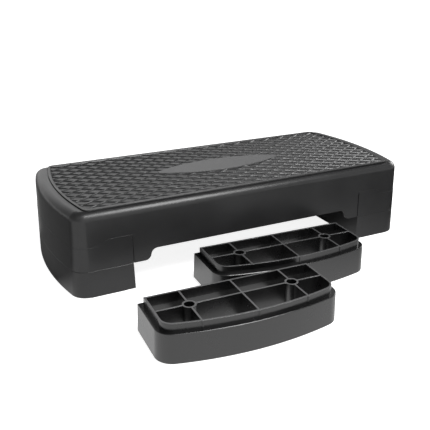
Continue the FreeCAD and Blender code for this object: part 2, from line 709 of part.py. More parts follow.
def tread_cells(bottom, top):
    """Diamond cells of the tread: two to a pitch, repeated along and across, clipped to the tread's area."""
    pitch_x, pitch_y = size.tread_cell_length, size.tread_cell_width
    diagonal = root(pitch_x * pitch_x + pitch_y * pitch_y)
    open_part = (pitch_x * pitch_y - size.tread_rib_width * diagonal) / (pitch_x * pitch_y)
    half_x = pitch_x * open_part / 2
    half_y = pitch_y * open_part / 2
    count_x = whole(size.mat_length / pitch_x) + 1
    count_y = whole(size.mat_width / pitch_y) + 1
    run_x = pitch_x * (count_x - 1)
    run_y = pitch_y * (count_y - 1)

    cells = new_body("tread_cells")
    sketch = new_sketch(cells, "tread_cell_pair", "XY_Plane", bottom)
    add_diamond(sketch, -run_x / 2, -run_y / 2, half_x, half_y)
    add_diamond(sketch, (pitch_x - run_x) / 2, (pitch_y - run_y) / 2, half_x, half_y)
    pair = add_pad(cells, sketch, top - bottom)
    grid = cells.newObject("PartDesign::MultiTransform", "tread_grid")
    patterns = []
    for name, axis, run, count in (("along", "H_Axis", run_x, count_x), ("across", "V_Axis", run_y, count_y)):
        pattern = cells.newObject("PartDesign::LinearPattern", f"tread_{name}")
        pattern.Direction = (sketch, [axis])
        pattern.setExpression("Length", run.text)
        pattern.setExpression("Occurrences", count.text)
        patterns.append(pattern)
    grid.Originals = [pair]
    grid.Transformations = patterns
    cells.Tip = grid

    area = new_body("tread_area")
    sketch = new_sketch(area, "tread_area_plan", "XY_Plane", deck_bottom)
    add_bowed_rectangle(sketch, size.mat_length / 2 - size.tread_end_border,
                        size.mat_width / 2 - size.tread_side_border,
                        size.mat_end_radius - size.tread_end_border, size.mat_corner - size.tread_end_border)
    clear_width = size.plaque_width + size.plaque_border * 2
    add_lens(sketch, size.plaque_length * clear_width / size.plaque_width, clear_width)
    add_pad(area, sketch, size.deck_height * 2)
    return common("tread_recesses", cells, area)


def make_mat(spot):
    """Anti-slip mat: sheet in the deck's seat with diamond cells, a raised rim and a smooth lens plaque."""
    sheet = new_body("mat_sheet")
    bottom = deck_top - size.mat_recess
    face = bottom + size.mat_thickness
    base = new_sketch(sheet, "mat_base", "XY_Plane", bottom)
    add_mat_plan(base, as_size(0))
    add_pad(sheet, base, size.mat_thickness)
    rim = new_sketch(sheet, "mat_rim", "XY_Plane", face)
    add_mat_plan(rim, as_size(0))
    add_mat_plan(rim, size.mat_rim_width)
    add_pad(sheet, rim, size.mat_rim_height)
    plaque = new_sketch(sheet, "mat_plaque", "XY_Plane", face)
    add_lens(plaque, size.plaque_length, size.plaque_width)
    add_pad(sheet, plaque, size.plaque_height)
    mat = cut("tread_mat", sheet, tread_cells(face - size.tread_depth, face + size.mat_thickness))
    place(mat, spot)
    return mat


def check(parts):
    """Stop if a feature failed or a part is empty or invalid."""
    for item in doc.Objects:
        if "Invalid" in item.State or "Error" in item.State:
            raise RuntimeError(f"{item.Label} failed: {item.State}")
    for part in parts:
        if part.Shape.isNull() or not part.Shape.isValid() or len(part.Shape.Solids) != 1:
            raise RuntimeError(f"{part.Label} is not one valid solid")


doc = FreeCAD.newDocument("StepPlatform")
size = make_sheet()

half_length = size.overall_length / 2
half_width = size.overall_width / 2
leg_face = half_length - size.riser_depth
deck_bottom = size.riser_height
deck_top = deck_bottom + size.deck_height
tongue_top = size.riser_height + size.tongue_height

# The set reaches from the deck's rear side to the lowest point of the front riser's bow.
bow_centre = size.spare_front_y - (size.riser_depth - size.end_radius) * cosine(size.spare_turn)
set_front = bow_centre - size.end_radius
deck_y = -(half_width + set_front) / 2

spare_angle = size.spare_turn + 180
RISERS = {
    "left_riser": SimpleNamespace(x=-leg_face, y=deck_y, turn=as_size(90)),
    "right_riser": SimpleNamespace(x=leg_face, y=deck_y, turn=as_size(270)),
    "spare_riser_front": SimpleNamespace(x=size.spare_front_x, y=size.spare_front_y + deck_y,
                                         turn=spare_angle),
    "spare_riser_rear": SimpleNamespace(x=size.spare_rear_x, y=size.spare_rear_y + deck_y,
                                        turn=spare_angle),
}
LEGS = {
    "left": SimpleNamespace(x=-leg_face, y=as_size(0), turn=as_size(90)),
    "right": SimpleNamespace(x=leg_face, y=as_size(0), turn=as_size(270)),
}
DECK = SimpleNamespace(x=as_size(0), y=deck_y, turn=as_size(0))

parts = [make_deck(LEGS, DECK), make_mat(DECK)]
for riser_name, riser_spot in RISERS.items():
    parts.append(make_riser(riser_name, riser_spot))
    parts.extend(make_feet(riser_name, riser_spot))
doc.recompute()
check(parts)

os.makedirs("parts", exist_ok=True)
for part in parts:
    part.Shape.exportStep(f"parts/{part.Label}.step")
    box = part.Shape.optimalBoundingBox()
    print(f"{part.Label}: {part.Shape.Volume / 1000:.1f} cm3, z {box.ZMin:.2f} to {box.ZMax:.2f}")
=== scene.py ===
"""Aerobic step platform: finished pieces, materials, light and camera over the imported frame."""

import json
import math
from collections import namedtuple

import bmesh
import bpy
from bpy.props import FloatProperty, FloatVectorProperty, IntProperty, PointerProperty
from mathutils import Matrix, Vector


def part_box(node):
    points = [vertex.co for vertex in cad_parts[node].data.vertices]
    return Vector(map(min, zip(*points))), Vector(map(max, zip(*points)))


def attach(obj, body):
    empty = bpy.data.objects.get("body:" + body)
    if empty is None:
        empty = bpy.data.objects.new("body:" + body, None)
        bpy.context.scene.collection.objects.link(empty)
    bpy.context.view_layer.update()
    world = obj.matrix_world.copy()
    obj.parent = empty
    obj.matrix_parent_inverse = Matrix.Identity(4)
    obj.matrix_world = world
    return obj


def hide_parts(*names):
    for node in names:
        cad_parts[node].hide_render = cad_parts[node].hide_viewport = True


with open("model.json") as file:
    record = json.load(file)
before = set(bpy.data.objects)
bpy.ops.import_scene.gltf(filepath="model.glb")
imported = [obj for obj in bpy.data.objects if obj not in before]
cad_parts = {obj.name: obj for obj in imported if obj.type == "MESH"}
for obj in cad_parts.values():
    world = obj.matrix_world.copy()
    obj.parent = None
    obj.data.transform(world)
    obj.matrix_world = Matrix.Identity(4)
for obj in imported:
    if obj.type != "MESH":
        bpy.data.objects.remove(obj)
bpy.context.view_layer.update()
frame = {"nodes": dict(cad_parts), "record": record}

bl_info = {
    "name": "Aerobic Step Platform",
    "version": (1, 0, 0),
    "blender": (4, 5, 0),
    "location": "View3D > Sidebar > Step",
    "description": "Finishes the deck, tread mat, risers and feet of an aerobic step on a studio stage",
    "category": "Object",
}

BODIES = {node: body for body, nodes in frame["record"]["behaviour"]["bodies"].items() for node in nodes}
RISERS = ("left_riser", "right_riser", "spare_riser_front", "spare_riser_rear")
MAT_LOW, MAT_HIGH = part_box("tread_mat")
MAT_CENTRE = (MAT_LOW + MAT_HIGH) / 2

# Limits of the modelling tests, in radians, metres and parts of a unit normal
SMOOTH_ANGLE = math.radians(48)
TREAD_SMOOTH_ANGLE = math.radians(30)
RIB_EDGE_ANGLE = math.radians(60)
FLAT_ANGLE = math.radians(0.2)
SAME_POINT = 2e-6
SLACK = 1e-5
FACES_UP = 0.9
FACES_ASIDE = 0.5

# Fineness of the drawn curves
BOW_STEPS = 48
CORNER_STEPS = 10
LENS_STEPS = 96
TIP_STEPS = 16
ROUND_STEPS = 4

# Narrowest cell in rib widths, the lens's root below the rib tops in cell depths, the plain band on the lens
NARROWEST_CELL = 0.8
LENS_ROOT = 1.2
LENS_BAND = 0.0012

# Finish of a surface: sizes of its grain and handling marks, range of its roughness, strength of the grain
Finish = namedtuple("Finish", "grain marks smoothest roughest bump")
MOULDED = Finish(grain=0.0011, marks=0.07, smoothest=0.30, roughest=0.35, bump=0.12)
HANDLED = Finish(grain=0.0011, marks=0.07, smoothest=0.22, roughest=0.30, bump=0.12)
TREAD = Finish(grain=0.0009, marks=0.05, smoothest=0.31, roughest=0.39, bump=0.25)
LENS = Finish(grain=0.0008, marks=0.05, smoothest=0.42, roughest=0.50, bump=0.10)
FOOT = Finish(grain=0.0008, marks=0.05, smoothest=0.60, roughest=0.75, bump=0.40)
GRAIN_DEPTH = 0.0002
PIT_SHARE = 0.6
HANDLED_GLOSS = 1.0
TREAD_GLOSS = 0.62

# Parts of the noise that the marks, the tone and the patches of wear and painted highlight take up, and how
# far the tone strays
MARK_RANGE = (0.35, 0.7)
TONE_RANGE = (0.3, 0.7)
PATCH_RANGE = (0.35, 0.65)
PATCH_LEAST = 0.75
PLASTIC_SPREAD = 0.15
RUBBER_SPREAD = 0.1

# Wear and painted highlight of the tread ribs, over painted shade in the cells: where it starts and is full,
# below the rib tops in cell depths
WEAR_AND_HIGHLIGHT_START, WEAR_AND_HIGHLIGHT_FULL = 0.9, 0.2

# Floor as the gloss sees it, with painted light and shade: fades of its white strips, in metres from the
# deck's middle
FLOOR_SIZE = 60.0
FLOOR_ROUGHNESS = 0.9
FRONT_STRIP = (-0.13, -0.04)
REAR_STRIP = (0.14, 0.20)
REAR_STRIP_END = (-0.38, -0.30)
LEFT_STRIP = (-0.36, -0.32)
LEFT_STRIP_LIGHT = 0.14
RIGHT_FADE = (0.08, 0.46)

# Studio round the set: fades along X, Y or Z of a unit direction, and the light left on the dim walls
HORIZON_FADE = (0.11, 0.19)
CEILING_FADE = (0.47, 0.62)
FRONT_CEILING_FADE = (-0.45, -0.1)
LEFT_WALL_FADE = (-0.5, -0.1)
RIGHT_WALL_FADE = (0.33, 0.58)
REAR_WALL_FADE = (-0.3, 0.0)
REAR_RIGHT_FADE = (0.38, 0.60)
DIM_WALL = 0.3
DIM_REAR = 0.25

# Softboxes: the key from the deck's front edge, the side one from the mat's middle
KEY_AIM_X = -0.08
KEY_OFFSET = Vector((0.30, -0.58, 0.95))
KEY_SIZE = (0.55, 0.55)
SIDE_OFFSET = Vector((2.2, 0.38, 0.70))
SIDE_SIZE = (1.0, 0.8)
SENSOR_WIDTH = 36.0


def number(name, description, default, **limits):
    return FloatProperty(name=name, description=description, default=default, **limits)


def length(name, description, default):
    """Size in metres."""
    return number(name, description, default, unit="LENGTH", precision=4)


def angle(name, description, degrees):
    return number(name, description, math.radians(degrees), subtype="ANGLE")


def colour(name, description, default):
    return FloatVectorProperty(name=name, description=description, default=default, subtype="COLOR",
                               size=4, min=0.0, max=1.0)


class PlasticSettings(bpy.types.PropertyGroup):
    """Moulded deck and riser blocks."""

    edge_radius: length("Edge Radius", "Round-over of the moulded edges", 0.0003)
    edge_segments: IntProperty(name="Edge Segments", description="Faces across a moulded edge",
                               default=2, min=1)
    sharp_angle: angle("Sharp Angle", "Outer edges sharper than this are rounded", 32)
    rim_clearance: length("Rim Clearance", "Height below which a riser's edges stay sharp", 0.0025)
    deck_colour: colour("Deck Colour", "Plastic of the deck and the mounted risers",
                        (0.018, 0.018, 0.0185, 1.0))
    spare_colour: colour("Loose Riser Colour", "Plastic of the loose risers", (0.004, 0.004, 0.0042, 1.0))
    # Painted highlight: paler colour painted on the loose risers' rib tops
    top_highlight_colour: colour("Top Highlight Colour", "Painted highlight on the rib tops of the loose risers", (0.075, 0.075, 0.076, 1.0))


class MatSettings(bpy.types.PropertyGroup):
    """Anti-slip mat and its plaque, and the foot strips' rubber."""

    end_radius: length("End Radius", "Bow of the mat's ends", 0.520)
    corner_radius: length("Corner Radius", "Corners of the mat", 0.012)
    rim_width: length("Rim Width", "Raised rim round the mat", 0.0035)
    rim_height: length("Rim Height", "Raised rim above the tread", 0.0003)
    side_border: length("Side Border", "Plain border beside the tread, rim and all", 0.0075)
    end_border: length("End Border", "Plain border at the ends of the tread, rim and all", 0.0045)
    cell_length: length("Cell Length", "Pitch of the diamond cells along the deck", 0.0364)
    cell_width: length("Cell Width", "Pitch of the diamond cells across the deck", 0.0221)
    rib_width: length("Rib Width", "Ribs between the cells", 0.0026)
    cell_depth: length("Cell Depth", "Depth of the cells", 0.0016)
    edge_radius: length("Edge Radius", "Round-over of the ribs", 0.0004)
    plaque_length: length("Plaque Length", "Smooth lens, tip to tip", 0.249)
    plaque_width: length("Plaque Width", "Smooth lens, side to side", 0.067)
    tip_radius: length("Tip Radius", "Rounded tips of the lens", 0.006)
    plaque_height: length("Plaque Height", "Smooth lens above the tread", 0.0005)
    # Cells kept darker than the rib tops: painted shade in the recesses
    floor_colour: colour("Cell Colour", "Rubber in the cells", (0.008, 0.008, 0.0085, 1.0))
    # Rib tops paler: wear and a painted highlight
    rib_wear_and_highlight_colour: colour("Rib Colour", "Rubber on the rib tops, paler by wear and a painted highlight", (0.02, 0.02, 0.0205, 1.0))
    plaque_colour: colour("Plaque Colour", "Smooth lens", (0.09, 0.09, 0.091, 1.0))
    foot_colour: colour("Foot Colour", "Rubber foot strips", (0.02, 0.02, 0.02, 1.0))


class StageSettings(bpy.types.PropertyGroup):
    """Floor, light and camera."""

    floor_colour: colour("Floor Colour", "Pale studio floor", (0.85, 0.85, 0.85, 1.0))
    floor_glow: number("Floor Glow", "Floor's own white to the eye", 0.85)
    floor_shine: number("Floor Shine", "Floor's white in reflections", 1.0)
    # Painted shade: level of the floor's dark parts as reflections see them, under the deck as its shadow and
    # round it
    painted_shade_level: number("Painted Shade Level", "Painted shade on the floor in reflections", 0.03)
    backdrop: number("Backdrop", "Light from the white studio walls", 1.1)
    ceiling: number("Ceiling", "Light from the ceiling", 0.15)
    front_ceiling: number("Front Ceiling", "Light from the ceiling above the camera", 0.7)
    key_power: number("Key", "Softbox over the front edge", 12.4, unit="POWER")
    side_power: number("Side", "Softbox on the right", 15.0, unit="POWER")
    lens: number("Lens", "Focal length, in millimetres", 52.33)
    azimuth: angle("Azimuth", "Camera round the deck", -26.35)
    elevation: angle("Elevation", "Camera above the floor", 21.81)
    distance: length("Distance", "Camera from its target", 1.2243)
    target_x: length("Target X", "Camera's target along the deck, from its middle", -0.0091)
    target_z: length("Target Z", "Camera's target above the floor", 0.0407)


# Modelling helpers

def only(piece):
    """Make a piece the one selected and active object."""
    bpy.ops.object.select_all(action="DESELECT")
    piece.select_set(True)
    bpy.context.view_layer.objects.active = piece


def edit(piece):
    only(piece)
    bpy.ops.object.mode_set(mode="EDIT")


def leave_edit():
    bpy.ops.object.mode_set(mode="OBJECT")


def pick(piece, kind, test):
    """Select the faces or edges of the edited piece that pass a test."""
    bpy.ops.mesh.select_mode(type=kind)
    bpy.ops.mesh.select_all(action="DESELECT")
    shape = bmesh.from_edit_mesh(piece.data)
    for item in shape.faces if kind == "FACE" else shape.edges:
        if test(item):
            item.select_set(True)
    shape.select_flush_mode()
    bmesh.update_edit_mesh(piece.data)


def name_piece(name):
    """Name the active object and its mesh."""
    piece = bpy.context.active_object
    piece.name = name
    piece.data.name = name
    return piece


def add_point(name, spot):
    """One vertex to draw an outline from; the piece stays in edit mode."""
    bpy.ops.mesh.primitive_plane_add(size=0.01, location=(0, 0, 0))
    piece = name_piece(name)
    edit(piece)
    bpy.ops.mesh.select_mode(type="VERT")
    bpy.ops.mesh.select_all(action="SELECT")
    bpy.ops.mesh.merge(type="CENTER")
    bpy.ops.transform.translate(value=spot)
    return piece


def turn_point(centre, turn, steps):
    """Carry the drawing point round an upright axis, leaving an arc behind it."""
    bpy.ops.mesh.spin(steps=steps, angle=turn, center=centre, axis=(0, 0, -1), dupli=False)


def raise_outline(height):
    """Close the drawn outline, fill it and raise it into a plate."""
    bpy.ops.mesh.select_all(action="SELECT")
    bpy.ops.mesh.remove_doubles(threshold=SLACK)
    bpy.ops.mesh.edge_face_add()
    bpy.ops.mesh.extrude_region_move(TRANSFORM_OT_translate={"value": (0, 0, height)})
    bpy.ops.mesh.select_all(action="SELECT")
    bpy.ops.mesh.normals_make_consistent(inside=False)


def draw_bowed_plate(name, centre, extent, bow, corner):
    """Plate with bowed ends and round corners, drawn as one outline, filled and raised."""
    half_x, half_y = extent.x / 2, extent.y / 2
    bow_x = half_x - bow
    corner_y = half_y - corner
    corner_x = bow_x + math.sqrt((bow - corner) ** 2 - corner_y ** 2)
    swing = math.asin(corner_y / (bow - corner))
    bend = math.pi / 2 - swing
    low = centre.z - extent.z / 2
    start = (centre.x + bow_x + bow * math.cos(swing), centre.y - bow * math.sin(swing), low)
    plate = add_point(name, start)
    for side in (1, -1):
        turn_point((centre.x + side * bow_x, centre.y, low), 2 * swing, BOW_STEPS)
        turn_point((centre.x + side * corner_x, centre.y + side * corner_y, low), bend, CORNER_STEPS)
        bpy.ops.mesh.extrude_vertices_move(TRANSFORM_OT_translate={"value": (-2 * side * corner_x, 0, 0)})
        turn_point((centre.x - side * corner_x, centre.y + side * corner_y, low), bend, CORNER_STEPS)
    raise_outline(extent.z)
    return plate


def lens_sides(settings):
    """Radius of the lens's long sides, and how far their centres lie beyond its middle."""
    reach = settings.plaque_length / 2 - settings.tip_radius
    rise = settings.plaque_width / 2 - settings.tip_radius
    drop = (reach ** 2 - rise ** 2) / (2 * rise)
    return drop + settings.plaque_width / 2, drop


def round_edges(piece, radius, segments, sharp, lowest=-math.inf, smooth=SMOOTH_ANGLE):
    """Round the outer edges sharper than an angle and above a height, and smooth the faces between them."""
    def is_outer(edge):
        return (len(edge.link_faces) == 2 and edge.calc_face_angle_signed() > sharp
                and any(vert.co.z > lowest for vert in edge.verts))

    edit(piece)
    pick(piece, "EDGE", is_outer)
    bpy.ops.mesh.bevel(offset=radius, segments=segments, affect="EDGES", clamp_overlap=False,
                       miter_outer="ARC")
    leave_edit()
    bpy.ops.object.shade_smooth_by_angle(angle=smooth)
    modifier = piece.modifiers.new("broad faces", "WEIGHTED_NORMAL")
    modifier.keep_sharp = True
    bpy.ops.object.modifier_apply(modifier=modifier.name)


def rounded_copy(node, name, settings, lowest=-math.inf):
    """Copy of a CAD node with its triangles joined into faces and its edges rounded."""
    only(frame["nodes"][node])
    bpy.ops.object.duplicate()
    piece = name_piece(name)
    bpy.ops.mesh.customdata_custom_splitnormals_clear()
    edit(piece)
    bpy.ops.mesh.select_all(action="SELECT")
    bpy.ops.mesh.remove_doubles(threshold=SAME_POINT)
    bpy.ops.mesh.dissolve_limited(angle_limit=FLAT_ANGLE)
    leave_edit()
    round_edges(piece, settings.edge_radius, settings.edge_segments, settings.sharp_angle, lowest)
    return piece


def finish_piece(piece, material, body, slot, *nodes):
    """Give a piece its material and body, and hide the CAD nodes that it replaces; the slot is not used."""
    piece.data.materials.clear()
    piece.data.materials.append(material)
    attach(piece, body)
    if nodes:
        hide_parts(*nodes)


# Materials

def link(tree, source, target):
    tree.links.new(source, target)


def feed(tree, source, target):
    """Link a socket to its source, or set it where the source is a plain value."""
    if isinstance(source, bpy.types.NodeSocket):
        link(tree, source, target)
    else:
        target.default_value = source


def add_math(tree, operation, kind="ShaderNodeMath"):
    node = tree.nodes.new(kind)
    node.operation = operation
    return node


def combine(tree, operation, first, second):
    """Join two values by one operation."""
    node = add_math(tree, operation)
    feed(tree, first, node.inputs[0])
    feed(tree, second, node.inputs[1])
    return node.outputs[0]


def ramp(tree, source, low, high, start, end):
    """Map a value from the range of start and end to that of low and high, clamped."""
    node = tree.nodes.new("ShaderNodeMapRange")
    for socket, value in (("From Min", start), ("From Max", end), ("To Min", low), ("To Max", high)):
        node.inputs[socket].default_value = value
    link(tree, source, node.inputs["Value"])
    return node.outputs["Result"]


def mix_colour(tree, factor, first, second):
    node = tree.nodes.new("ShaderNodeMix")
    node.data_type = "RGBA"
    feed(tree, first, node.inputs["A"])
    feed(tree, second, node.inputs["B"])
    link(tree, factor, node.inputs["Factor"])
    return node.outputs["Result"]


def coordinates(tree, kind):
    return tree.nodes.new("ShaderNodeTexCoord").outputs[kind]


def split(tree, vector):
    """The X, Y and Z of a vector."""
    axes = tree.nodes.new("ShaderNodeSeparateXYZ")
    link(tree, vector, axes.inputs["Vector"])
    return axes.outputs


def shade(base, factor):
    return (base[0] * factor, base[1] * factor, base[2] * factor, 1.0)


def add_noise(tree, detail, roughness=0.5):
    node = tree.nodes.new("ShaderNodeTexNoise")
    node.inputs["Detail"].default_value = detail
    node.inputs["Roughness"].default_value = roughness
    return node


def surface_detail_group():
    """Fine moulded grain and faint handling marks: a height, the marks and a tone."""
    name = "surface_detail"
    if name in bpy.data.node_groups:
        return bpy.data.node_groups[name]
    group = bpy.data.node_groups.new(name, "ShaderNodeTree")
    for socket in ("Grain Size", "Mark Size"):
        group.interface.new_socket(socket, in_out="INPUT", socket_type="NodeSocketFloat")
    for socket in ("Height", "Marks", "Tone"):
        group.interface.new_socket(socket, in_out="OUTPUT", socket_type="NodeSocketFloat")
    inputs = group.nodes.new("NodeGroupInput")
    outputs = group.nodes.new("NodeGroupOutput")
    place = coordinates(group, "Object")
    fine = combine(group, "DIVIDE", 1.0, inputs.outputs["Grain Size"])
    broad = combine(group, "DIVIDE", 1.0, inputs.outputs["Mark Size"])
    grain = add_noise(group, detail=3.0)
    pits = group.nodes.new("ShaderNodeTexVoronoi")
    marks = add_noise(group, detail=6.0, roughness=0.65)
    tone = add_noise(group, detail=2.0)
    for texture, scale in ((grain, fine), (pits, fine), (marks, broad), (tone, broad)):
        link(group, place, texture.inputs["Vector"])
        link(group, scale, texture.inputs["Scale"])
    height = add_math(group, "MULTIPLY_ADD")
    link(group, pits.outputs["Distance"], height.inputs[0])
    height.inputs[1].default_value = PIT_SHARE
    link(group, grain.outputs["Fac"], height.inputs[2])
    link(group, height.outputs[0], outputs.inputs["Height"])
    link(group, marks.outputs["Fac"], outputs.inputs["Marks"])
    link(group, tone.outputs["Fac"], outputs.inputs["Tone"])
    return group


def new_material(name):
    """A material with its node tree and its shader."""
    material = bpy.data.materials.new(name)
    material.use_nodes = True
    tree = material.node_tree
    return material, tree, tree.nodes["Principled BSDF"]


def add_detail(tree, bsdf, finish):
    """Grain in the normal and handling marks in the roughness; returns the detail node's outputs."""
    detail = tree.nodes.new("ShaderNodeGroup")
    detail.node_tree = surface_detail_group()
    detail.inputs["Grain Size"].default_value = finish.grain
    detail.inputs["Mark Size"].default_value = finish.marks
    roughness = ramp(tree, detail.outputs["Marks"], finish.smoothest, finish.roughest, *MARK_RANGE)
    link(tree, roughness, bsdf.inputs["Roughness"])
    bump = tree.nodes.new("ShaderNodeBump")
    bump.inputs["Strength"].default_value = finish.bump
    bump.inputs["Distance"].default_value = GRAIN_DEPTH
    link(tree, detail.outputs["Height"], bump.inputs["Height"])
    link(tree, bump.outputs["Normal"], bsdf.inputs["Normal"])
    return detail.outputs


def toned_material(name, base, finish, spread):
    """Material whose colour strays a little; returns it, its shader and the colour that feeds it."""
    material, tree, bsdf = new_material(name)
    detail = add_detail(tree, bsdf, finish)
    tone = ramp(tree, detail["Tone"], 0.0, 1.0, *TONE_RANGE)
    plain = mix_colour(tree, tone, shade(base, 1 - spread), shade(base, 1 + spread))
    link(tree, plain, bsdf.inputs["Base Color"])
    return material, bsdf, plain


def plastic_material(name, base):
    """Satin moulded plastic."""
    return toned_material(name, base, MOULDED, PLASTIC_SPREAD)[0]


def top_highlight_plastic_material(name, settings):
    """Glossier plastic whose rib tops are painted paler than all below them: a painted highlight on the tops
    and painted shade in the cells.
    """
    material, bsdf, plain = toned_material(name, settings.spare_colour, HANDLED, PLASTIC_SPREAD)
    bsdf.inputs["Specular IOR Level"].default_value = HANDLED_GLOSS
    tree = material.node_tree
    height = split(tree, coordinates(tree, "Object"))["Z"]
    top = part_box("spare_riser_front")[1].z
    # Painted light: the rib tops are painted paler as a highlight, all below stays dark as painted shade in
    # the cells
    painted_top_highlight = ramp(tree, height, 0.0, 1.0, top - settings.edge_radius * 2, top - settings.edge_radius)
    link(tree, mix_colour(tree, painted_top_highlight, plain, tuple(settings.top_highlight_colour)), bsdf.inputs["Base Color"])
    return material


def mat_material(settings):
    """Rubber that is darker in the cells, as painted shade, and paler on the rib tops, as wear and a painted
    highlight.
    """
    material, tree, bsdf = new_material("tread_rubber")
    detail = add_detail(tree, bsdf, TREAD)
    bsdf.inputs["Specular IOR Level"].default_value = TREAD_GLOSS
    height = split(tree, coordinates(tree, "Object"))["Z"]
    rib_top = MAT_HIGH.z - settings.plaque_height
    # Paler towards the rib tops by height: wear and a painted highlight, with painted shade in the cells
    wear_and_highlight = ramp(tree, height, 0.0, 1.0, rib_top - settings.cell_depth * WEAR_AND_HIGHLIGHT_START,
                rib_top - settings.cell_depth * WEAR_AND_HIGHLIGHT_FULL)
    patchy = combine(tree, "MULTIPLY", wear_and_highlight, ramp(tree, detail["Marks"], PATCH_LEAST, 1.0, *PATCH_RANGE))
    link(tree, mix_colour(tree, patchy, tuple(settings.floor_colour), tuple(settings.rib_wear_and_highlight_colour)),
         bsdf.inputs["Base Color"])
    return material


def rubber_material(name, base, finish):
    return toned_material(name, base, finish, RUBBER_SPREAD)[0]


# Pieces

class STEP_OT_deck(bpy.types.Operator):
    """Deck shell with rounded moulded edges"""

    bl_idname = "step.deck"
    bl_label = "Deck Shell"

    def execute(self, context):
        settings = context.scene.step_plastic
        deck = rounded_copy("deck_shell", "deck_shell_finished", settings)
        material = plastic_material("deck_plastic", settings.deck_colour)
        finish_piece(deck, material, BODIES["deck_shell"], "deck", "deck_shell")
        return {"FINISHED"}


class STEP_OT_risers(bpy.types.Operator):
    """Riser blocks with rounded moulded edges"""

    bl_idname = "step.risers"
    bl_label = "Risers"

    def execute(self, context):
        settings = context.scene.step_plastic
        mounted = plastic_material("mounted_riser_plastic", settings.deck_colour)
        loose = top_highlight_plastic_material("loose_riser_plastic", settings)
        for node in RISERS:
            riser = rounded_copy(node, f"{node}_finished", settings, settings.rim_clearance)
            material, slot = (loose, "spare_riser") if node.startswith("spare") else (mounted, "deck")
            finish_piece(riser, material, BODIES[node], slot, node)
        return {"FINISHED"}


class STEP_OT_feet(bpy.types.Operator):
    """Rubber foot strips in the rims of the risers"""

    bl_idname = "step.feet"
    bl_label = "Foot Strips"

    def execute(self, context):
        settings = context.scene.step_plastic
        rubber = rubber_material("foot_rubber", context.scene.step_mat.foot_colour, FOOT)
        for node in BODIES:
            if "_foot_" in node:
                foot = rounded_copy(node, f"{node}_finished", settings)
                finish_piece(foot, rubber, BODIES[node], "foot", node)
        return {"FINISHED"}


class STEP_OT_mat(bpy.types.Operator):
    """Anti-slip mat with a raised rim and diamond cells between rounded ribs"""

    bl_idname = "step.mat"
    bl_label = "Tread Mat"

    def execute(self, context):
        settings = context.scene.step_mat
        rib_top = MAT_HIGH.z - settings.plaque_height
        rim_top = rib_top + settings.rim_height
        extent = Vector((MAT_HIGH.x - MAT_LOW.x, MAT_HIGH.y - MAT_LOW.y, rim_top - MAT_LOW.z))
        centre = Vector((MAT_CENTRE.x, MAT_CENTRE.y, MAT_LOW.z + extent.z / 2))
        mat = draw_bowed_plate("tread_mat_finished", centre, extent, settings.end_radius,
                               settings.corner_radius)
        pick(mat, "FACE", lambda face: face.normal.z > FACES_UP)
        bpy.ops.mesh.inset(thickness=settings.rim_width, depth=0.0)
        bpy.ops.mesh.inset(thickness=settings.rim_height, depth=-settings.rim_height)
        plain = settings.end_border - settings.rim_width - settings.rim_height
        bpy.ops.mesh.inset(thickness=plain, depth=0.0)
        self.cut_lattice(mat, settings, extent, rib_top)
        pick(mat, "FACE", lambda face: self.is_cell(face, settings, rib_top))
        bpy.ops.mesh.inset(thickness=settings.rib_width / 2, depth=-settings.cell_depth,
                           use_individual=True)
        leave_edit()
        round_edges(mat, settings.edge_radius, ROUND_STEPS, RIB_EDGE_ANGLE, smooth=TREAD_SMOOTH_ANGLE)
        finish_piece(mat, mat_material(settings), BODIES["tread_mat"], "mat", "tread_mat")
        return {"FINISHED"}

    @staticmethod
    def in_tread(face, settings, rib_top):
        """The face lies in the tread, inside the bowed end borders."""
        bow_x = (MAT_HIGH.x - MAT_LOW.x) / 2 - settings.end_radius
        reach = settings.end_radius - settings.end_border + SLACK
        return (face.normal.z > FACES_UP and abs(face.calc_center_median().z - rib_top) < SLACK
                and all(math.hypot(abs(vert.co.x) - bow_x, vert.co.y - MAT_CENTRE.y) < reach
                        for vert in face.verts))

    def is_cell(self, face, settings, rib_top):
        """The face is a cell: clear of the side borders, wide enough for a recess, not under the plaque."""
        if not self.in_tread(face, settings, rib_top):
            return False
        half_width = (MAT_HIGH.y - MAT_LOW.y) / 2 - settings.side_border
        bow, drop = lens_sides(settings)
        beside = abs(face.calc_center_median().y - MAT_CENTRE.y) > half_width
        covered = all(math.hypot(vert.co.x, abs(vert.co.y - MAT_CENTRE.y) + drop) < bow
                      for vert in face.verts)
        narrow = 2 * face.calc_area() / face.calc_perimeter() < settings.rib_width * NARROWEST_CELL
        return not (beside or covered or narrow)

    def cut_lattice(self, mat, settings, extent, rib_top):
        """Cut the tread's face along its side borders and both families of rib lines."""
        for side in (-1, 1):
            pick(mat, "FACE", lambda face: self.in_tread(face, settings, rib_top))
            border = MAT_CENTRE.y + side * (extent.y / 2 - settings.side_border)
            bpy.ops.mesh.bisect(plane_co=(0, border, rib_top), plane_no=(0, 1, 0))
        slope = math.atan2(settings.cell_width, settings.cell_length)
        pitch = settings.cell_length * math.sin(slope)
        reach = (extent.x * math.sin(slope) + extent.y * math.cos(slope)) / 2
        lines = int(reach / pitch) + 1
        for turn in (slope, -slope):
            across = Vector((-math.sin(turn), math.cos(turn), 0.0))
            for line in range(-lines, lines):
                pick(mat, "FACE", lambda face: self.in_tread(face, settings, rib_top))
                spot = Vector((0, MAT_CENTRE.y, rib_top)) + across * (line + 0.5) * pitch
                bpy.ops.mesh.bisect(plane_co=spot, plane_no=across)


